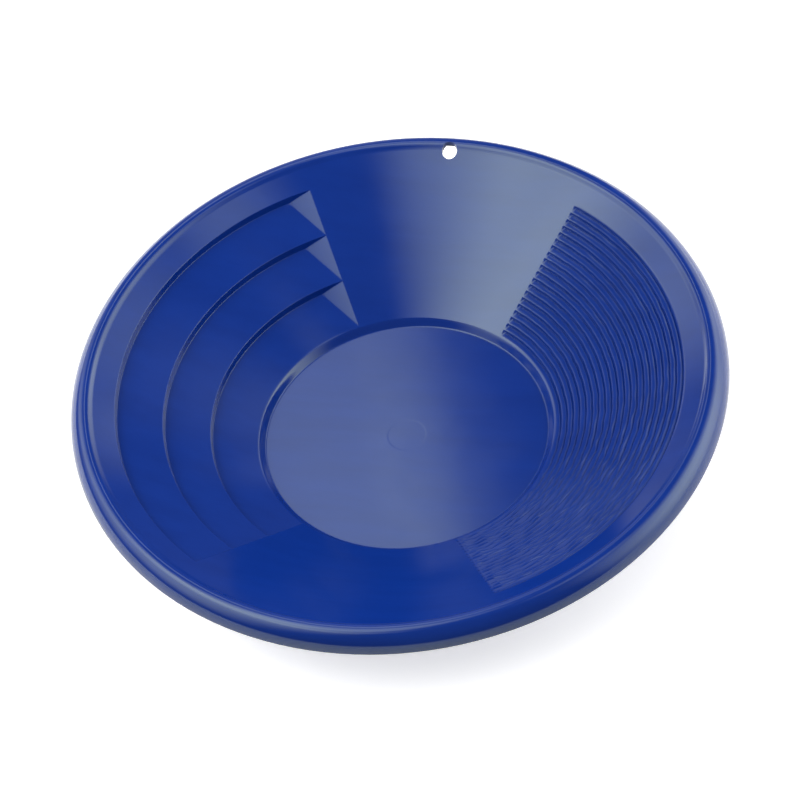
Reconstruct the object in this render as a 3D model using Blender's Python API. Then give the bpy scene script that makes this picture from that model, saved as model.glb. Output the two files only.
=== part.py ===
"""Gold pan, 14 in across: one injection moulding in blue polypropylene.

The pan is a shallow dish with a flat floor, a sloping wall and a rolled rim. A third of the wall
carries three coarse stepped riffles, the opposite third carries twenty fine ones, and the two
sectors between them are plain. A hang hole goes through the rim above one plain sector.

Metres, +Z up. The pan stands on Z = 0 with its axis on Z and the hang hole towards +Y, so the
fine riffles face +X and the coarse riffles face -X. Every body is swept round the axis from
sections in the (radius, height) plane. Neighbours share their boundary points exactly, so that
together they are the one moulding, with no gap.
"""

from math import asin, ceil, cos, degrees, radians, sin, tan

import bmesh
import bpy

MM = 0.001

# Driving dimensions.
OUTER_RADIUS = 178 * MM
SKIN = 2.4 * MM
FLOOR_RADIUS = 77.2 * MM
STEP_RISE = 4.0 * MM
STEP_RUN = 3.7 * MM
WALL_ANGLE = radians(30.2)
CREASE_RADIUS = 164.9 * MM
RIM_CREST_RADIUS = 169 * MM
RIM_CREST_HEIGHT = 57.6 * MM
RIM_SKIRT_HEIGHT = 46.3 * MM
CREST_BEND = 6 * MM
SIDE_BEND = 13 * MM
CREST_TURN = radians(20)
SIDE_TURN = radians(35)

# Sectors of the wall, in degrees about +Z. The hang hole is over the middle of the back one.
BACK_SPAN = 59
FINE_SPAN = 121
COARSE_SPAN = 118
BACK_START = 90 - BACK_SPAN / 2
FINE_START = BACK_START - FINE_SPAN
COARSE_START = BACK_START + BACK_SPAN
FRONT_START = COARSE_START + COARSE_SPAN
FRONT_SPAN = 360 - BACK_SPAN - FINE_SPAN - COARSE_SPAN
AZIMUTH_STEP = 3.9

# Riffles: a pocket drops straight down below each lip, then rises to the next lip inwards.
LIP_RADIUS = 153.7 * MM
COARSE_COUNT = 3
COARSE_DEPTH = 3.8 * MM
COARSE_START_RUN = 13.7 * MM
COARSE_END_RUN = 3.0 * MM
COARSE_INNER_RADIUS = 81.6 * MM
FINE_COUNT = 20
FINE_DEPTH = 1.6 * MM
FINE_END_RUN = 2.8 * MM
FINE_INNER_RADIUS = 81.7 * MM
DRAFT = radians(5)

# Details.
FLOOR_JOINT_RADIUS = 75 * MM
RIM_JOINT_RADIUS = 158 * MM
HANG_HOLE_RADIUS = 4.25 * MM
HANG_HOLE_CENTRE_RADIUS = 164.3 * MM
GATE_MARK_RADIUS = 10.3 * MM
GATE_MARK_DEPTH = 0.3 * MM
SKIN_BELOW = SKIN / cos(WALL_ANGLE)
STEP_TOP_RADIUS = FLOOR_RADIUS + STEP_RUN
STEP_TOP_HEIGHT = SKIN + STEP_RISE


def wall_height(radius):
    """Height of the wall's inner face where it is plain."""
    return STEP_TOP_HEIGHT + (radius - STEP_TOP_RADIUS) * tan(WALL_ANGLE)


def end_grade(depth, start_run, end_run, from_start, to_end):
    """How deep the sloping end faces let a pocket be at this angle, per metre of radius.

    An end face is a plane. It starts at the radial edge of the sector and is depth below the wall
    at start_run or end_run from that edge.
    """
    return min(depth / start_run * sin(from_start), depth / end_run * sin(to_end))


def pockets(outer, inner, count, depth, grade):
    """(radius, depth below the wall) down one section of riffles, from the outer lip inwards."""
    pitch = (outer - inner) / count
    rise = depth / pitch
    points = []
    for index in range(count):
        lip = outer - index * pitch
        foot = lip - pitch
        drop = min(depth, grade * lip)
        turn = lip - 0.5 * pitch
        if drop < depth:
            turn = max(rise * foot / (rise - grade), foot)
        points.append((lip, 0.0))
        points.append((lip - drop * tan(DRAFT), drop))
        if turn > foot:
            points.append((turn, min(grade * turn, rise * (turn - foot))))
        else:
            points.append((foot + 0.01 * pitch, 0.0))
    return points


def step_top():
    """The rounded shoulder between the wall and the step down to the floor."""
    return [
        (STEP_TOP_RADIUS + 0.5 * MM, STEP_TOP_HEIGHT + 0.1 * MM),
        (STEP_TOP_RADIUS - 0.8 * MM, STEP_TOP_HEIGHT - 1.0 * MM),
    ]


def wall_section(riffles=(), below=()):
    """Closed section of the wall: its inner face from the rim joint down, then its underside up."""
    inside = [(RIM_JOINT_RADIUS, wall_height(RIM_JOINT_RADIUS))]
    inside += [(radius, wall_height(radius) - drop) for radius, drop in riffles]
    inside += step_top()
    inside += [(FLOOR_RADIUS + 0.5 * MM, SKIN + 0.45 * MM), (FLOOR_RADIUS - 0.7 * MM, SKIN)]
    inside += [(FLOOR_JOINT_RADIUS, SKIN)]
    outside = [(FLOOR_JOINT_RADIUS, 0.0), (FLOOR_RADIUS + 0.8 * MM, 0.0)]
    outside += [(STEP_TOP_RADIUS + 1.3 * MM, wall_height(STEP_TOP_RADIUS + 1.3 * MM) - SKIN_BELOW)]
    outside += [(radius, wall_height(radius) - SKIN_BELOW - drop) for radius, drop in reversed(below)]
    outside += [(RIM_JOINT_RADIUS, wall_height(RIM_JOINT_RADIUS) - SKIN_BELOW)]
    return inside + outside


def coarse_section(from_start, to_end):
    """The wall where the coarse riffles are: the underside follows the pockets, one skin out."""
    grade = end_grade(COARSE_DEPTH, COARSE_START_RUN, COARSE_END_RUN, from_start, to_end)
    riffles = pockets(LIP_RADIUS, COARSE_INNER_RADIUS, COARSE_COUNT, COARSE_DEPTH, grade)
    outer, inner = LIP_RADIUS + SKIN, COARSE_INNER_RADIUS + SKIN
    return wall_section(riffles, pockets(outer, inner, COARSE_COUNT, COARSE_DEPTH, grade))


def fine_section(from_start, to_end):
    """The wall where the fine riffles are: they are cut into its inner face only."""
    grade = end_grade(FINE_DEPTH, FINE_END_RUN, FINE_END_RUN, from_start, to_end)
    return wall_section(pockets(LIP_RADIUS, FINE_INNER_RADIUS, FINE_COUNT, FINE_DEPTH, grade))


def plain_section(from_start, to_end):
    """The plain wall, the same at every angle."""
    return wall_section()


def floor_section():
    """Half section of the floor: a flat plate, dished slightly at the moulding gate."""
    return [
        (0.0, SKIN - GATE_MARK_DEPTH),
        (0.0, 0.0),
        (FLOOR_JOINT_RADIUS, 0.0),
        (FLOOR_JOINT_RADIUS, SKIN),
        (GATE_MARK_RADIUS + 0.6 * MM, SKIN),
        (GATE_MARK_RADIUS, SKIN - GATE_MARK_DEPTH),
    ]


def rolled(inset, steps):
    """The rolled rim from inside its crest, over and down its side, set in by one skin or none.

    It bends tightly over the crest, and more broadly down the side to the skirt's lower edge.
    """
    bend, broad = CREST_BEND - inset, SIDE_BEND - inset
    centre = (RIM_CREST_RADIUS, RIM_CREST_HEIGHT - CREST_BEND)
    shift = CREST_BEND - SIDE_BEND
    side_centre = (centre[0] + shift * sin(SIDE_TURN), centre[1] + shift * cos(SIDE_TURN))
    points = []
    for step in range(steps + 1):
        turn = -CREST_TURN + (SIDE_TURN + CREST_TURN) * step / steps
        points.append((centre[0] + bend * sin(turn), centre[1] + bend * cos(turn)))
    last = radians(90) - asin((RIM_SKIRT_HEIGHT - side_centre[1]) / broad)
    for step in range(1, steps + 1):
        turn = SIDE_TURN + (last - SIDE_TURN) * step / steps
        points.append((side_centre[0] + broad * sin(turn), side_centre[1] + broad * cos(turn)))
    return points


def rim_section():
    """Closed section of the rim: over the roll from the wall to the skirt, then back underneath."""
    crease = (CREASE_RADIUS, wall_height(CREASE_RADIUS))
    over = [(RIM_JOINT_RADIUS, wall_height(RIM_JOINT_RADIUS))]
    over += [(crease[0] - 0.6 * MM, wall_height(crease[0] - 0.6 * MM))]
    over += [(crease[0] + 0.3 * MM, crease[1] + 0.6 * MM)]
    over += [(crease[0] + 1.1 * MM, crease[1] + 2.0 * MM)]
    over += rolled(0.0, 6)
    under = list(reversed(rolled(SKIN, 4)))
    below_crease = CREASE_RADIUS + 1.6 * MM
    under += [(below_crease, wall_height(below_crease) - SKIN_BELOW)]
    under += [(RIM_JOINT_RADIUS, wall_height(RIM_JOINT_RADIUS) - SKIN_BELOW)]
    return over + under


def full_depth_angles(run, outer, inner, count):
    """Degrees from the edge of a sector at which each pocket reaches its full depth."""
    pitch = (outer - inner) / count
    return [degrees(asin(run / (outer - index * pitch))) for index in range(count)]


def sector_angles(span, near_start=(), near_end=()):
    """Degrees across a sector from its start: the ones asked for near its edges, then even steps."""
    first = near_start[-1] if near_start else 0.0
    last = span - (near_end[-1] if near_end else 0.0)
    count = 2 * ceil((last - first) / 2 / AZIMUTH_STEP)
    middle = [first + (last - first) * step / count for step in range(count + 1)]
    before = [0.0, *near_start[:-1]] if near_start else []
    after = [span, *(span - angle for angle in near_end[:-1])] if near_end else []
    return before + middle + after[::-1]


def new_material(name, colour):
    material = bpy.data.materials.new(name)
    material.use_nodes = True
    shader = material.node_tree.nodes["Principled BSDF"]
    shader.inputs["Base Color"].default_value = (*colour, 1.0)
    shader.inputs["Roughness"].default_value = 0.3
    return material


def add_object(name, mesh_data, colour, collection):
    """Turns a bmesh into a named object with its own material."""
    bmesh.ops.remove_doubles(mesh_data, verts=mesh_data.verts, dist=1e-7)
    bmesh.ops.dissolve_degenerate(mesh_data, edges=mesh_data.edges, dist=1e-7)
    bmesh.ops.recalc_face_normals(mesh_data, faces=mesh_data.faces)
    mesh = bpy.data.meshes.new(name)
    mesh_data.to_mesh(mesh)
    mesh_data.free()
    mesh.materials.append(new_material(name, colour))
    part = bpy.data.objects.new(name, mesh)
    collection.objects.link(part)
    return part


def sweep(sections, angles, closed):
    """A body that joins sections of (radius, height) points, one at each direction in degrees."""
    mesh_data = bmesh.new()
    loops = []
    for section, angle in zip(sections, angles):
        across, along = cos(radians(angle)), sin(radians(angle))
        loops.append([mesh_data.verts.new((r * across, r * along, z)) for r, z in section])
    pairs = list(zip(loops, loops[1:]))
    if closed:
        pairs.append((loops[-1], loops[0]))
    else:
        mesh_data.faces.new(loops[0])
        mesh_data.faces.new(reversed(loops[-1]))
    for one, other in pairs:
        for index in range(len(one)):
            corner = index - 1
            mesh_data.faces.new((one[corner], one[index], other[index], other[corner]))
    return mesh_data


def add_wall(name, section_at, start, angles, colour, collection):
    """One sector of the wall, from the floor joint to the rim joint. Gives back its directions."""
    span = angles[-1]
    sections = [section_at(radians(angle), radians(span - angle)) for angle in angles]
    directions = [start + angle for angle in angles]
    add_object(name, sweep(sections, directions, False), colour, collection)
    return directions[:-1]


def cut_hang_hole(rim, helpers):
    """The hang hole, straight down through the rim on the +Y side."""
    cutter_data = bmesh.new()
    bmesh.ops.create_cone(
        cutter_data,
        cap_ends=True,
        segments=32,
        radius1=HANG_HOLE_RADIUS,
        radius2=HANG_HOLE_RADIUS,
        depth=40 * MM,
    )
    cutter = add_object("hang_hole_cutter", cutter_data, (1.0, 0.2, 0.2), helpers)
    cutter.location = (0.0, HANG_HOLE_CENTRE_RADIUS, RIM_CREST_HEIGHT)
    cutter.hide_render = True
    cutter.display_type = "WIRE"
    boolean = rim.modifiers.new("hang_hole", "BOOLEAN")
    boolean.operation = "DIFFERENCE"
    boolean.solver = "EXACT"
    boolean.object = cutter


def main():
    for old in list(bpy.data.objects):
        bpy.data.objects.remove(old, do_unlink=True)
    scene = bpy.context.scene
    pan = bpy.data.collections.new("gold_pan")
    helpers = bpy.data.collections.new("gold_pan_cutters")
    scene.collection.children.link(pan)
    scene.collection.children.link(helpers)
    helpers.hide_render = True

    plain, riffled, rimmed = (0.03, 0.13, 0.62), (0.02, 0.10, 0.52), (0.03, 0.15, 0.68)
    fine_ends = full_depth_angles(FINE_END_RUN, LIP_RADIUS, FINE_INNER_RADIUS, 2)
    fine_angles = sector_angles(FINE_SPAN, fine_ends, fine_ends)
    coarse_lips = (LIP_RADIUS, COARSE_INNER_RADIUS, COARSE_COUNT)
    coarse_start = full_depth_angles(COARSE_START_RUN, *coarse_lips)
    coarse_start = [coarse_start[0] / 3, coarse_start[0] * 2 / 3, *coarse_start]
    coarse_end = full_depth_angles(COARSE_END_RUN, *coarse_lips)
    coarse_angles = sector_angles(COARSE_SPAN, coarse_start, coarse_end)
    back_angles = sector_angles(BACK_SPAN)
    front_angles = sector_angles(FRONT_SPAN)

    around = []
    around += add_wall("fine_riffle_wall", fine_section, FINE_START, fine_angles, riffled, pan)
    around += add_wall("plain_wall_back", plain_section, BACK_START, back_angles, plain, pan)
    around += add_wall("coarse_riffle_wall", coarse_section, COARSE_START, coarse_angles, riffled, pan)
    around += add_wall("plain_wall_front", plain_section, FRONT_START, front_angles, plain, pan)
    rim = add_object("rolled_rim", sweep([rim_section()] * len(around), around, True), rimmed, pan)
    cut_hang_hole(rim, helpers)
    add_object("pan_floor", sweep([floor_section()] * len(around), around, True), plain, pan)


main()
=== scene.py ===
"""Studio picture of the gold pan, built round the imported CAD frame.

The pan is one injection moulding, so one continuous skin stands for all six CAD regions. Its
sections are drawn in the (radius, height) plane, one at each direction round the axis, and every
section has the same number of points, so that neighbours join into one closed grid.
"""

from math import asin, cos, pi, radians, sin, tan

import bmesh
import bpy
import numpy as np
from mathutils import Matrix, Vector, noise


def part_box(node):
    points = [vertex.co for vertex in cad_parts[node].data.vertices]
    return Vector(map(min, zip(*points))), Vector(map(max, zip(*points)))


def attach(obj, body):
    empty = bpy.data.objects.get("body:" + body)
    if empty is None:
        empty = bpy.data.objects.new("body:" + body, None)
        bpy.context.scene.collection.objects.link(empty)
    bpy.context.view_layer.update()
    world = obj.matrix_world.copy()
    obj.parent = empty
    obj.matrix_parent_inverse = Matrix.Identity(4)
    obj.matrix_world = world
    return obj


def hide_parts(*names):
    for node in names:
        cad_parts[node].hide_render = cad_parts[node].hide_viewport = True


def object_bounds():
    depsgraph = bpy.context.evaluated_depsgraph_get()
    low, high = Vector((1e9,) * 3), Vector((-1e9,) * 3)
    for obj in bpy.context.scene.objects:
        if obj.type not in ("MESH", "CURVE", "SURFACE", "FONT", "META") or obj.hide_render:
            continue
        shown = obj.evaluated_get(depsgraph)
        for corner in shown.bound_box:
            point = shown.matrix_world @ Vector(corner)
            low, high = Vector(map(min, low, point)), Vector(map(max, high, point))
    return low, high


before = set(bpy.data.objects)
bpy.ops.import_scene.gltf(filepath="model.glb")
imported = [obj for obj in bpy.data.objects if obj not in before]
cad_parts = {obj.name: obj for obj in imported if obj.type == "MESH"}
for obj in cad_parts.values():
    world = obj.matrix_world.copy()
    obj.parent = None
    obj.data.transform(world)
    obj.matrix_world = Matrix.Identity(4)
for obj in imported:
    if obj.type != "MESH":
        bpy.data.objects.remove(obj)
cad_low, cad_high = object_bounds()

MM = 0.001
NODES = sorted(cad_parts)

# Sizes that the CAD regions give.
CREST_HEIGHT = cad_high.z
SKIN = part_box("pan_floor")[1].z
SKIRT_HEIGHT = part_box("rolled_rim")[0].z

# The floor with its gate mark, the step round it, and the wall.
FLOOR_RADIUS = 78.0 * MM
GATE_RADIUS = 10.3 * MM
GATE_DEPTH = 0.015 * MM
GATE_SLOPE_WIDTH = 0.5 * MM
STEP_RISE = 4.0 * MM
STEP_RUN = 2.9 * MM
STEP_TOP_RADIUS = FLOOR_RADIUS + STEP_RUN
STEP_TOP_HEIGHT = SKIN + STEP_RISE
WALL_ANGLE = radians(30.2)
SKIN_BELOW = SKIN / cos(WALL_ANGLE)

# The rim: a riser stands in the crease at the top of the wall, and three bends roll outwards from
# it. The first starts INNER_TURN before the crest, and the last starts SIDE_TURN past it.
CREASE_RADIUS = 164.9 * MM
CREST_RADIUS = 169 * MM
INNER_BEND = 4 * MM
CREST_BEND = 6 * MM
SIDE_BEND = 13 * MM
INNER_TURN = radians(48)
SIDE_TURN = radians(35)
HOLE_RADIUS = 4.25 * MM
HOLE_CENTRE_RADIUS = 164.3 * MM
HOLE_SEGMENTS = 96
CUTTER_LENGTH = 40 * MM

# How much further out the corners of the underside are than the ones above them.
FOOT_OUT = 0.8 * MM
SHOULDER_OUT = 1.3 * MM
CREASE_OUT = 1.6 * MM

# Sectors of the wall in degrees about +Z, with the hang hole over the middle of the back one.
BACK_SPAN = 59
FINE_SPAN = 121
COARSE_SPAN = 118
FRONT_SPAN = 360 - BACK_SPAN - FINE_SPAN - COARSE_SPAN
BACK_START = 90 - BACK_SPAN / 2
FINE_START = BACK_START - FINE_SPAN
COARSE_START = BACK_START + BACK_SPAN

# Riffles: a pocket drops below each lip, then rises to the next lip inwards. Its two ends are
# slopes, each given by its run, and EDGE_BLEND rounds off where a slope meets the wall. NO_POCKET
# stands for the angles from a sector's edges at a place well outside it.
LIP_RADIUS = 153.7 * MM
LEAD_IN = 2 * MM
DRAFT = radians(5)
RISER_OFFSET = 0.06 * MM
EDGE_BLEND = 0.3 * MM
COARSE_COUNT = 3
COARSE_DEPTH = 3.8 * MM
COARSE_START_RUN = 13.7 * MM
COARSE_END_RUN = 3.0 * MM
COARSE_INNER_RADIUS = 81.6 * MM
FINE_COUNT = 20
FINE_DEPTH = 1.6 * MM
FINE_NOTCH_WIDTH = 1.0 * MM
FINE_FLOOR_DEPTH = 0.65 * MM
FINE_LAND = 0.6 * MM
FINE_END_RUN = 2.8 * MM
FINE_INNER_RADIUS = 81.7 * MM
NO_POCKET = (-1.0, -1.0)

# A coarse pocket's floor folds where its sloping end meets it, no nearer to the next lip than
# LEAST_FLOOR of the pitch. Beyond the end there is no fold, but each section still needs its point,
# which moves along the floor from FOLD_NEAR of the pitch by up to FOLD_TRAVEL, at FOLD_RATE.
LEAST_FLOOR = 0.01
FOLD_NEAR = 0.03
FOLD_TRAVEL = 0.42
FOLD_RATE = 1.5

# The fine lips wander a little, as if the plastic had flowed unevenly: least at the top, and more
# from WANDER_FROM degrees down over the next WANDER_OVER degrees.
WANDER = 1.0 * MM
WANDER_LENGTH = 9 * MM
WANDER_DETAIL = 1.3
WANDER_FROM = 12
WANDER_OVER = 45
WANDER_LEAST = 0.25

# How far from a corner its rounding starts. No rounding takes more than MOST_TRIM of the stretch
# beside it.
MOST_TRIM = 0.45
LIP_TRIM = 0.28 * MM
FOOT_TRIM = 0.3 * MM
FOLD_TRIM = 1.0 * MM
FINE_LIP_TRIM = 0.75 * MM
FINE_FOOT_TRIM = 0.25 * MM
SKIRT_TRIM = 0.5 * MM
CREASE_TRIM = 0.6 * MM
CREASE_TRIM_BELOW = 0.9 * MM
SHOULDER_TRIM = 1.9 * MM
STEP_FOOT_TRIM = 0.6 * MM
GATE_TRIM = 0.4 * MM
FLOOR_TRIM_BELOW = 1.5 * MM
SHOULDER_TRIM_BELOW = 0.6 * MM

# Into how many parts each riffle's roundings (STEPS) and straight stretches (FILLS) are cut, from
# its lip inwards. The coarse and the fine line come to the same number of points.
COARSE_STEPS, COARSE_FILLS = [8, 8, 8], [5, 12, 19]
UNDER_STEPS, UNDER_FILLS = [2, 2, 2], [1, 1, 2]
FINE_STEPS, FINE_FILLS = [2, 1, 1, 1], [1, 1, 1, 1]
ROLL_STEPS, ROLL_STEPS_BELOW = 9, 4

# Where the sections are drawn, in degrees: at EDGE_ANGLES about each end of the riffles, then over
# its steep or long slope, then evenly. BLEND_ANGLE is how far past its ends a sector's own line is
# still drawn.
BLEND_ANGLE = 0.5
EDGE_ANGLES = [-0.5, -0.35, -0.2, -0.1, 0.0, 0.1, 0.2, 0.35, 0.5, 0.65]
STEEP_ANGLES = EDGE_ANGLES + [0.84 + 0.19 * step for step in range(9)]
LONG_ANGLES = EDGE_ANGLES + [0.65 + 0.57 * step for step in range(1, 17)]
FINE_STEP = 1.0
COARSE_STEP = 1.8
PLAIN_STEP = 2.5

MERGE_DISTANCE = 1e-6
NO_LENGTH = 1e-7
SHARP_ANGLE = radians(50)

DEEP_BLUE = (0.0022, 0.0202, 0.172, 1.0)
PALE_BLUE = (0.0029, 0.0243, 0.200, 1.0)
WHITE = (1.0, 1.0, 1.0, 1.0)
TABLE_GREY = (0.9, 0.9, 0.9, 1.0)
TABLE_REACH = 6.0
TABLE_DROP = 0.0002
TABLE_GLOW = 0.5
WORLD_STRENGTH = 0.15

# Name, azimuth, elevation, distance, half size, fade and strength, as softbox takes them.
LAMPS = [
    # The right half of the back wall, and the lower part of that reflection.
    ("left_key", 210, 58, 2.2, (1.5, 1.18), (1.25, 1.5), 6.0),
    ("left_low", 188, 34, 1.2, (1.5, 0.73), (1.2, 0.7), 2.7),
    # The left plain ring and the pockets' end faces, and the upper left with its pockets.
    ("right_wall", 19, 20, 1.6, (1.8, 1.7), (1.77, 2.0), 4.9),
    ("right_top", 3, 66, 2.0, (0.5, 0.45), (0.4, 0.4), 1.5),
    # The light half of the floor, and its sharp edge.
    ("back_strip", 114, 54, 1.7, (0.22, 0.73), (0.2, 0.8), 2.5),
    ("back_edge", 108.5, 52, 1.7, (0.045, 0.4), (0.012, 0.4), 0.9),
    # The right ring and rim, then the lower left ring and the rim at one to two o'clock.
    ("back_left_low", 140, -5, 0.8, (0.26, 0.46), (0.25, 0.6), 5.4),
    ("back_right_low", 62, 6, 0.8, (0.31, 0.54), (0.24, 0.25), 1.8),
    # A faint fill from behind, and the highlight on the near crest.
    ("back_wall", 114, 10, 2.0, (0.73, 0.88), (0.6, 0.34), 0.5),
    ("overhead", 172, 78, 2.0, (0.72, 0.62), (0.45, 0.4), 2.7),
]

LENS = 157.5
SENSOR_WIDTH = 36
CAMERA_PLACE = Vector((0.388, -1.154, 1.482))
CAMERA_AIM = Vector((-0.005, 0.014, 0.015))
CAMERA_ROLL = radians(-10.3)


def wall_height(radius):
    """Height of the wall's inner face where it is plain."""
    return STEP_TOP_HEIGHT + (radius - STEP_TOP_RADIUS) * tan(WALL_ANGLE)


def curve(start, corner, end, steps):
    """Points of the rounded corner from start to end, both included."""
    points = []
    for step in range(steps + 1):
        u = step / steps
        a, b, c = (1 - u) ** 2, 2 * u * (1 - u), u * u
        points.append(tuple(a * s + b * k + c * e for s, k, e in zip(start, corner, end)))
    return points


def rounded(corners, trims, steps, fills):
    """A line through corners of which the inner ones are rounded.

    trims says how far from each inner corner its rounding starts, steps into how many parts it is
    cut, and fills into how many parts each straight stretch is cut.
    """
    line = [np.array(corner, float) for corner in corners]
    lengths = [np.linalg.norm(b - a) for a, b in zip(line, line[1:])]
    points = [tuple(line[0])]
    last = line[0]
    for index in range(1, len(line) - 1):
        corner = line[index]
        back = line[index - 1] - corner
        ahead = line[index + 1] - corner
        reach_back = min(trims[index - 1], MOST_TRIM * lengths[index - 1])
        reach_ahead = min(trims[index - 1], MOST_TRIM * lengths[index])
        start = corner + back * (reach_back / max(lengths[index - 1], 1e-9))
        end = corner + ahead * (reach_ahead / max(lengths[index], 1e-9))
        parts = fills[index - 1]
        points += [tuple(last + (start - last) * k / parts) for k in range(1, parts)]
        points += curve(start, corner, end, steps[index - 1])
        last = end
    parts = fills[-1]
    points += [tuple(last + (line[-1] - last) * k / parts) for k in range(1, parts + 1)]
    return points


def ramp(distance, slope):
    """Depth of a sloping end face at a distance past its edge, with the edge rounded off."""
    if distance <= -EDGE_BLEND:
        return 0.0
    if distance >= EDGE_BLEND:
        return slope * distance
    return slope * (distance + EDGE_BLEND) ** 2 / (4 * EDGE_BLEND)


def end_depth(lip, depth, runs, from_start, to_end):
    """How deep the two end faces let a pocket be just inside its lip.

    from_start and to_end are the angles, in radians, from the sector's two edges.
    """
    start = ramp(lip * sin(from_start), depth / runs[0])
    end = ramp(lip * sin(to_end), depth / runs[1])
    return min(start, end)


def coarse_corners(outer, inner, from_start, to_end):
    """(radius, drop) corners of the coarse riffles, from the outer lip inwards."""
    pitch = (outer - inner) / COARSE_COUNT
    rise = COARSE_DEPTH / pitch
    runs = (COARSE_START_RUN, COARSE_END_RUN)
    corners = []
    for index in range(COARSE_COUNT):
        lip = outer - index * pitch
        foot = lip - pitch
        free = end_depth(lip, COARSE_DEPTH, runs, from_start, to_end)
        drop = min(COARSE_DEPTH, free)
        grade = free / lip
        if drop < COARSE_DEPTH and grade < rise:
            turn = max(rise * foot / (rise - grade), foot + LEAST_FLOOR * pitch)
            at_turn = min(grade * turn, rise * (turn - foot))
        else:
            over = min(1.0, (free / COARSE_DEPTH - 1.0) * FOLD_RATE)
            turn = lip - pitch * (FOLD_NEAR + FOLD_TRAVEL * over)
            at_turn = rise * (turn - foot)
        corners.append((lip, 0.0))
        corners.append((lip - RISER_OFFSET - drop * tan(DRAFT), drop))
        corners.append((turn, at_turn))
    corners.append((inner, 0.0))
    return corners


def wander(radius, angle):
    """How far a fine lip strays outwards at a direction in degrees."""
    share = min(1.0, max(0.0, (WANDER_FROM - angle) / WANDER_OVER))
    spot = Vector((radius * cos(radians(angle)), radius * sin(radians(angle)), 0)) / WANDER_LENGTH
    reach = WANDER * (WANDER_LEAST + (1 - WANDER_LEAST) * share)
    return reach * noise.noise(spot * WANDER_DETAIL)


def fine_corners(from_start, to_end, angle):
    """(radius, drop) corners of the fine riffles, from the outer lip inwards."""
    pitch = (LIP_RADIUS - FINE_INNER_RADIUS) / FINE_COUNT
    runs = (FINE_END_RUN, FINE_END_RUN)
    lips = [LIP_RADIUS - index * pitch for index in range(FINE_COUNT + 1)]
    strays = [0.0] + [wander(lip, angle) for lip in lips[1:-1]] + [0.0]
    lips = [lip + stray for lip, stray in zip(lips, strays)]
    corners = []
    for lip, foot in zip(lips, lips[1:]):
        drop = min(FINE_DEPTH, end_depth(lip, FINE_DEPTH, runs, from_start, to_end))
        corners.append((lip, 0.0))
        corners.append((lip - RISER_OFFSET - drop * tan(DRAFT), drop))
        corners.append((lip - FINE_NOTCH_WIDTH, min(drop, FINE_FLOOR_DEPTH)))
        corners.append((foot + FINE_LAND, 0.0))
    corners.append((FINE_INNER_RADIUS, 0.0))
    return corners


def coarse_line(from_start, to_end):
    """(radius, drop) down the coarse riffles, from outside the outer lip inwards."""
    corners = [(LIP_RADIUS + LEAD_IN, 0.0)]
    corners += coarse_corners(LIP_RADIUS, COARSE_INNER_RADIUS, from_start, to_end)
    trims = [LIP_TRIM, FOOT_TRIM, FOLD_TRIM] * COARSE_COUNT
    fills = [2] + COARSE_FILLS * COARSE_COUNT
    return rounded(corners, trims, COARSE_STEPS * COARSE_COUNT, fills)


def under_line(from_start, to_end):
    """(radius, drop) down the underside, which follows the coarse pockets one skin out."""
    corners = [(LIP_RADIUS + SKIN + LEAD_IN, 0.0)]
    corners += coarse_corners(LIP_RADIUS + SKIN, COARSE_INNER_RADIUS + SKIN, from_start, to_end)
    trims = [LIP_TRIM, FOOT_TRIM, FOLD_TRIM] * COARSE_COUNT
    fills = [1] + UNDER_FILLS * COARSE_COUNT
    return rounded(corners, trims, UNDER_STEPS * COARSE_COUNT, fills)


def fine_line(from_start, to_end, direction):
    """(radius, drop) down the fine riffles, with as many points as coarse_line gives."""
    corners = [(LIP_RADIUS + LEAD_IN, 0.0)]
    corners += fine_corners(from_start, to_end, direction)
    trims = [FINE_LIP_TRIM, *[FINE_FOOT_TRIM] * 3] * FINE_COUNT
    fills = [2] + FINE_FILLS * FINE_COUNT
    return rounded(corners, trims, FINE_STEPS * FINE_COUNT, fills)


def angle_past(start, span, direction):
    """Degrees from a sector's start to a direction, below zero if it is nearer to the start."""
    angle = (direction - start) % 360
    return angle - 360 if angle > 180 + span / 2 else angle


def riffled_lines(direction):
    """The inner and under lines of the riffled stretch at a direction in degrees.

    Across a plain sector the points of the inner line pass from the fine line's places to the
    coarse line's, so that the grid has no sudden change.
    """
    coarse_at = angle_past(COARSE_START, COARSE_SPAN, direction)
    fine_at = angle_past(FINE_START, FINE_SPAN, direction)
    if -BLEND_ANGLE <= coarse_at <= COARSE_SPAN + BLEND_ANGLE:
        ends = (radians(coarse_at), radians(COARSE_SPAN - coarse_at))
        return coarse_line(*ends), under_line(*ends)
    under = under_line(*NO_POCKET)
    if -BLEND_ANGLE <= fine_at <= FINE_SPAN + BLEND_ANGLE:
        return fine_line(radians(fine_at), radians(FINE_SPAN - fine_at), direction), under
    if 0 < fine_at - FINE_SPAN < BACK_SPAN:
        share = (fine_at - FINE_SPAN - BLEND_ANGLE) / (BACK_SPAN - 2 * BLEND_ANGLE)
    else:
        share = 1 - (coarse_at - COARSE_SPAN - BLEND_ANGLE) / (FRONT_SPAN - 2 * BLEND_ANGLE)
    fine = fine_line(*NO_POCKET, direction)
    coarse = coarse_line(*NO_POCKET)
    inner = [(a[0] + (b[0] - a[0]) * share, 0.0) for a, b in zip(fine, coarse)]
    return inner, under


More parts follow.
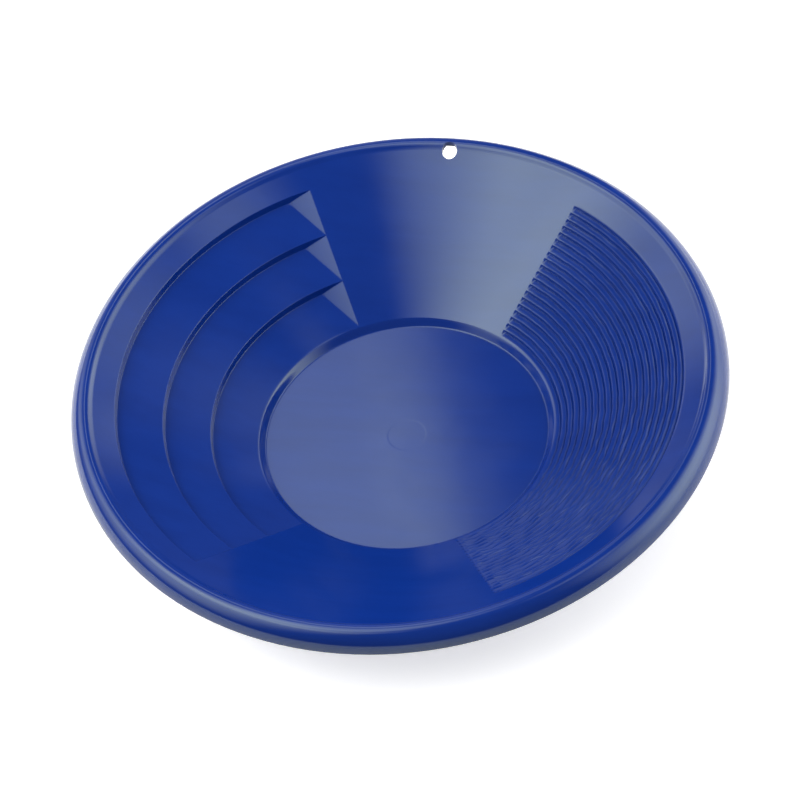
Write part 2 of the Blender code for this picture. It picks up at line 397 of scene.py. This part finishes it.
def rolled(inset, steps):
    """The rolled rim from the skirt's lower edge up over its crest to the riser, set in by inset.

    Each of its three bends starts where the one before it ends, so that they meet smoothly.
    """
    centre = Vector((CREST_RADIUS, CREST_HEIGHT - CREST_BEND))
    inner = centre + (CREST_BEND - INNER_BEND) * Vector((0, 1))
    broad = centre + (CREST_BEND - SIDE_BEND) * Vector((sin(SIDE_TURN), cos(SIDE_TURN)))
    last = pi / 2 - asin((SKIRT_HEIGHT - broad.y) / (SIDE_BEND - inset))
    bends = [
        (broad, SIDE_BEND, last, SIDE_TURN),
        (centre, CREST_BEND, SIDE_TURN, 0.0),
        (inner, INNER_BEND, 0.0, -INNER_TURN),
    ]
    points = []
    for middle, bend, start, end in bends:
        turns = [start + (end - start) * step / steps for step in range(steps + 1)]
        arc = [middle + (bend - inset) * Vector((sin(turn), cos(turn))) for turn in turns]
        points += [tuple(point) for point in arc[1 if points else 0 :]]
    return points


def rim_over():
    """From the skirt's lower edge, over the roll and down the riser to the wall."""
    arc = rolled(0.0, ROLL_STEPS)
    middle = (arc[0][0] - SKIN / 2, SKIRT_HEIGHT)
    points = rounded([middle, arc[0], arc[1]], [SKIRT_TRIM], [5], [1, 1])
    points += arc[2:-1]
    crease = (CREASE_RADIUS, wall_height(CREASE_RADIUS))
    lead = LIP_RADIUS + LEAD_IN
    corners = [arc[-1], crease, (lead, wall_height(lead))]
    points += rounded(corners, [CREASE_TRIM], [7], [2, 3])
    return points[:-1]


def step_and_floor():
    """From the foot of the wall, down the step and across the floor to the axis."""
    corners = [
        (COARSE_INNER_RADIUS, wall_height(COARSE_INNER_RADIUS)),
        (STEP_TOP_RADIUS, STEP_TOP_HEIGHT),
        (FLOOR_RADIUS, SKIN),
        (GATE_RADIUS + GATE_SLOPE_WIDTH, SKIN),
        (GATE_RADIUS, SKIN - GATE_DEPTH),
        (0.0, SKIN - GATE_DEPTH),
    ]
    trims = [SHOULDER_TRIM, STEP_FOOT_TRIM, GATE_TRIM, GATE_TRIM]
    return rounded(corners, trims, [8, 6, 2, 2], [1, 2, 8, 1, 2])[1:]


def floor_below():
    """From the axis out under the floor and up to the underside of the wall."""
    shoulder = STEP_TOP_RADIUS + SHOULDER_OUT
    lip = COARSE_INNER_RADIUS + SKIN
    corners = [
        (0.0, 0.0),
        (FLOOR_RADIUS + FOOT_OUT, 0.0),
        (shoulder, wall_height(shoulder) - SKIN_BELOW),
        (lip, wall_height(lip) - SKIN_BELOW),
    ]
    trims = [FLOOR_TRIM_BELOW, SHOULDER_TRIM_BELOW]
    return rounded(corners, trims, [5, 2], [7, 1, 1])[:-1]


def rim_below():
    """From the underside of the wall, up into the roll and down to the skirt's lower edge."""
    lead = LIP_RADIUS + SKIN + LEAD_IN
    crease = CREASE_RADIUS + CREASE_OUT
    arc = rolled(SKIN, ROLL_STEPS_BELOW)[::-1]
    corners = [
        (lead, wall_height(lead) - SKIN_BELOW),
        (crease, wall_height(crease) - SKIN_BELOW),
        arc[0],
    ]
    points = rounded(corners, [CREASE_TRIM_BELOW], [5], [3, 1])
    points = points[1:] + arc[1:-1]
    middle = (arc[-1][0] + SKIN / 2, SKIRT_HEIGHT)
    points += rounded([arc[-2], arc[-1], middle], [SKIRT_TRIM], [4], [1, 1])[1:-1]
    return points


def stretch(low, high, step):
    """Directions evenly between two others, neither of them included, about step apart."""
    count = max(1, round((high - low) / step))
    return [low + (high - low) * k / count for k in range(1, count)]


def directions():
    """The directions, in degrees, at which a section of the skin is drawn."""
    steep, long = STEEP_ANGLES, LONG_ANGLES
    fine_end = FINE_START + FINE_SPAN
    coarse_end = COARSE_START + COARSE_SPAN
    found = [FINE_START + angle for angle in steep]
    found += stretch(FINE_START + steep[-1], fine_end - steep[-1], FINE_STEP)
    found += [fine_end - angle for angle in steep[::-1]]
    found += stretch(fine_end - steep[0], COARSE_START + long[0], PLAIN_STEP)
    found += [COARSE_START + angle for angle in long]
    found += stretch(COARSE_START + long[-1], coarse_end - steep[-1], COARSE_STEP)
    found += [coarse_end - angle for angle in steep[::-1]]
    found += stretch(coarse_end - steep[0], FINE_START + 360 + steep[0], PLAIN_STEP)
    return found


def pan_mesh():
    """The closed skin as a mesh."""
    over, down, below, back = rim_over(), step_and_floor(), floor_below(), rim_below()
    rows = []
    for direction in directions():
        inner, under = riffled_lines(direction)
        wall = [(r, wall_height(r) - drop) for r, drop in inner]
        wall_below = [(r, wall_height(r) - SKIN_BELOW - drop) for r, drop in under]
        section = np.array(over + wall + down + below + wall_below[::-1] + back)
        across, along = cos(radians(direction)), sin(radians(direction))
        rows.append(np.column_stack([section[:, 0] * across, section[:, 0] * along, section[:, 1]]))
    points = np.concatenate(rows)
    number = np.arange(len(points)).reshape(len(rows), len(rows[0]))
    after, beside = np.roll(number, -1, 0), np.roll(number, -1, 1)
    corner = np.roll(after, -1, 1)
    quads = np.stack([number, after, corner, beside], -1).reshape(-1, 4)
    mesh = bpy.data.meshes.new("gold_pan")
    mesh.from_pydata(points.tolist(), [], quads.tolist())
    skin = bmesh.new()
    skin.from_mesh(mesh)
    bmesh.ops.remove_doubles(skin, verts=skin.verts, dist=MERGE_DISTANCE)
    bmesh.ops.dissolve_degenerate(skin, edges=skin.edges, dist=NO_LENGTH)
    bmesh.ops.recalc_face_normals(skin, faces=skin.faces)
    skin.to_mesh(mesh)
    skin.free()
    return mesh


def apply_modifiers(piece):
    """Makes what the modifiers give the piece's own mesh."""
    bpy.context.view_layer.update()
    graph = bpy.context.evaluated_depsgraph_get()
    mesh = bpy.data.meshes.new_from_object(piece.evaluated_get(graph))
    piece.modifiers.clear()
    piece.data = mesh


def cut_hang_hole(piece):
    """The hang hole, straight down through the rim."""
    cutter_mesh = bmesh.new()
    bmesh.ops.create_cone(
        cutter_mesh,
        cap_ends=True,
        segments=HOLE_SEGMENTS,
        radius1=HOLE_RADIUS,
        radius2=HOLE_RADIUS,
        depth=CUTTER_LENGTH,
    )
    mesh = bpy.data.meshes.new("hang_hole_cutter")
    cutter_mesh.to_mesh(mesh)
    cutter_mesh.free()
    cutter = bpy.data.objects.new("hang_hole_cutter", mesh)
    bpy.context.scene.collection.objects.link(cutter)
    cutter.location = (0.0, HOLE_CENTRE_RADIUS, CREST_HEIGHT)
    cut = piece.modifiers.new("hang_hole", "BOOLEAN")
    cut.operation = "DIFFERENCE"
    cut.solver = "EXACT"
    cut.object = cutter
    apply_modifiers(piece)
    bpy.data.objects.remove(cutter, do_unlink=True)
    bpy.data.meshes.remove(mesh)


def nodes_of(material):
    material.use_nodes = True
    tree = material.node_tree
    return tree, tree.nodes["Principled BSDF"]


def add_node(tree, kind, **values):
    """A new shader node with the inputs or settings given by name."""
    node = tree.nodes.new(kind)
    for name, value in values.items():
        if name in node.inputs:
            node.inputs[name].default_value = value
        else:
            setattr(node, name, value)
    return node


def pan_material():
    """Glossy royal blue polypropylene, with faint flow marks and the grain of the mould."""
    material = bpy.data.materials.new("blue_polypropylene")
    tree, shader = nodes_of(material)
    link = tree.links.new
    shader.inputs["IOR"].default_value = 1.49
    shader.inputs["Specular Tint"].default_value = (0.85, 1.0, 0.72, 1.0)
    place = add_node(tree, "ShaderNodeTexCoord").outputs["Object"]

    # The pigment is drawn out along the flow, so its patches are long and faint.
    flow = add_node(tree, "ShaderNodeMapping")
    flow.inputs["Rotation"].default_value = (0, 0, radians(35))
    flow.inputs["Scale"].default_value = (1, 5, 5)
    link(place, flow.inputs["Vector"])
    patches = add_node(tree, "ShaderNodeTexNoise", Scale=14.0, Detail=5.0, Roughness=0.6)
    link(flow.outputs[0], patches.inputs["Vector"])
    colours = add_node(tree, "ShaderNodeValToRGB")
    colours.color_ramp.elements[0].position = 0.3
    colours.color_ramp.elements[0].color = DEEP_BLUE
    colours.color_ramp.elements[1].position = 0.7
    colours.color_ramp.elements[1].color = PALE_BLUE
    link(patches.outputs["Fac"], colours.inputs["Fac"])
    link(colours.outputs["Color"], shader.inputs["Base Color"])

    # Handling leaves some patches duller than others.
    wear = add_node(tree, "ShaderNodeTexNoise", Scale=28.0, Detail=6.0, Roughness=0.65)
    link(place, wear.inputs["Vector"])
    gloss = add_node(tree, "ShaderNodeMapRange")
    gloss.inputs["From Min"].default_value = 0.35
    gloss.inputs["From Max"].default_value = 0.7
    gloss.inputs["To Min"].default_value = 0.075
    gloss.inputs["To Max"].default_value = 0.12
    link(wear.outputs["Fac"], gloss.inputs["Value"])
    link(gloss.outputs["Result"], shader.inputs["Roughness"])

    # Shallow sink marks, and a grain too fine to see one by one.
    sink = add_node(tree, "ShaderNodeTexNoise", Scale=45.0, Detail=2.0, Roughness=0.5)
    link(place, sink.inputs["Vector"])
    sunk = add_node(tree, "ShaderNodeBump", Strength=0.03, Distance=0.0006)
    link(sink.outputs["Fac"], sunk.inputs["Height"])
    grain = add_node(tree, "ShaderNodeTexNoise", Scale=1600.0, Detail=2.0, Roughness=0.5)
    link(place, grain.inputs["Vector"])
    grained = add_node(tree, "ShaderNodeBump", Strength=0.05, Distance=0.00005)
    link(grain.outputs["Fac"], grained.inputs["Height"])
    link(sunk.outputs["Normal"], grained.inputs["Normal"])
    link(grained.outputs["Normal"], shader.inputs["Normal"])
    return material


def build_pan():
    """The pan's skin with its hang hole, which stands for all six CAD regions."""
    pan = bpy.data.objects.new("gold_pan", pan_mesh())
    bpy.context.scene.collection.objects.link(pan)
    cut_hang_hole(pan)
    pan.data.shade_smooth()
    pan.data.set_sharp_from_angle(angle=SHARP_ANGLE)
    normals = pan.modifiers.new("normals", "WEIGHTED_NORMAL")
    normals.keep_sharp = True
    normals.weight = 50
    pan.data.materials.clear()
    pan.data.materials.append(pan_material())
    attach(pan, "root")
    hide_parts(*NODES)


def build_floor():
    """A white table just under the pan, which glows a little and sends the pan no diffuse light."""
    mesh = bpy.data.meshes.new("table")
    corners = [(-1, -1), (1, -1), (1, 1), (-1, 1)]
    places = [(x * TABLE_REACH, y * TABLE_REACH, -TABLE_DROP) for x, y in corners]
    mesh.from_pydata(places, [], [(0, 1, 2, 3)])
    floor = bpy.data.objects.new("table", mesh)
    bpy.context.scene.collection.objects.link(floor)
    material = bpy.data.materials.new("white_table")
    shader = nodes_of(material)[1]
    shader.inputs["Base Color"].default_value = TABLE_GREY
    shader.inputs["Roughness"].default_value = 0.7
    shader.inputs["Emission Color"].default_value = WHITE
    shader.inputs["Emission Strength"].default_value = TABLE_GLOW
    mesh.materials.append(material)
    floor.visible_diffuse = False


def softbox(name, azimuth, elevation, distance, half_size, fade, strength):
    """A rectangular lamp aimed at the foot of the pan's axis, brightest in the middle.

    half_size and fade are (across, up) in metres. fade is how far in from an edge the lamp comes
    to its full strength, which is the radiance seen in it: 1 is white in the picture.
    """
    lamp = bpy.data.lights.new(name, "AREA")
    lamp.shape = "RECTANGLE"
    lamp.size, lamp.size_y = 2 * half_size[0], 2 * half_size[1]
    lamp.energy = strength * lamp.size * lamp.size_y * pi
    lamp.use_nodes = True
    tree = lamp.node_tree
    link = tree.links.new
    place = add_node(tree, "ShaderNodeNewGeometry")
    split = add_node(tree, "ShaderNodeSeparateXYZ")
    link(place.outputs["Parametric"], split.inputs[0])

    # Parametric runs from 0 to 1 across the lamp, so its middle is at 0.5 and so is half its width.
    product = None
    for axis, half, soft in zip("XY", half_size, fade):
        away = add_node(tree, "ShaderNodeMath", operation="SUBTRACT")
        away.inputs[1].default_value = 0.5
        link(split.outputs[axis], away.inputs[0])
        side = add_node(tree, "ShaderNodeMath", operation="ABSOLUTE")
        link(away.outputs[0], side.inputs[0])
        fall = add_node(tree, "ShaderNodeMapRange", interpolation_type="SMOOTHSTEP")
        fall.inputs["From Min"].default_value = 0.5
        fall.inputs["From Max"].default_value = 0.5 - soft / (2 * half)
        link(side.outputs[0], fall.inputs["Value"])
        if product is None:
            product = fall.outputs[0]
        else:
            both = add_node(tree, "ShaderNodeMath", operation="MULTIPLY")
            link(product, both.inputs[0])
            link(fall.outputs[0], both.inputs[1])
            product = both.outputs[0]
    link(product, tree.nodes["Emission"].inputs["Strength"])

    holder = bpy.data.objects.new(name, lamp)
    bpy.context.scene.collection.objects.link(holder)
    turn, rise = radians(azimuth), radians(elevation)
    outwards = Vector((cos(turn) * cos(rise), sin(turn) * cos(rise), sin(rise)))
    holder.location = outwards * distance
    holder.rotation_mode = "QUATERNION"
    holder.rotation_quaternion = outwards.to_track_quat("Z", "Y")
    holder.visible_camera = False


def build_lights():
    """A faint even light from all round, and the lamps."""
    world = bpy.data.worlds.new("studio")
    bpy.context.scene.world = world
    world.use_nodes = True
    background = world.node_tree.nodes["Background"]
    background.inputs["Color"].default_value = WHITE
    background.inputs["Strength"].default_value = WORLD_STRENGTH
    for lamp in LAMPS:
        softbox(*lamp)


def build_camera():
    """A long lens from above the front of the pan, turned a little about its line of sight."""
    camera = bpy.data.cameras.new("camera")
    camera.lens = LENS
    camera.sensor_width = SENSOR_WIDTH
    holder = bpy.data.objects.new("camera", camera)
    bpy.context.scene.collection.objects.link(holder)
    holder.location = CAMERA_PLACE
    level = (CAMERA_AIM - holder.location).to_track_quat("-Z", "Y").to_matrix()
    roll = Matrix.Rotation(CAMERA_ROLL, 3, "Z")
    holder.rotation_mode = "QUATERNION"
    holder.rotation_quaternion = (level @ roll).to_quaternion()
    bpy.context.scene.camera = holder


build_camera()
build_pan()
build_floor()
build_lights()
bpy.context.scene.view_settings.view_transform = "Standard"
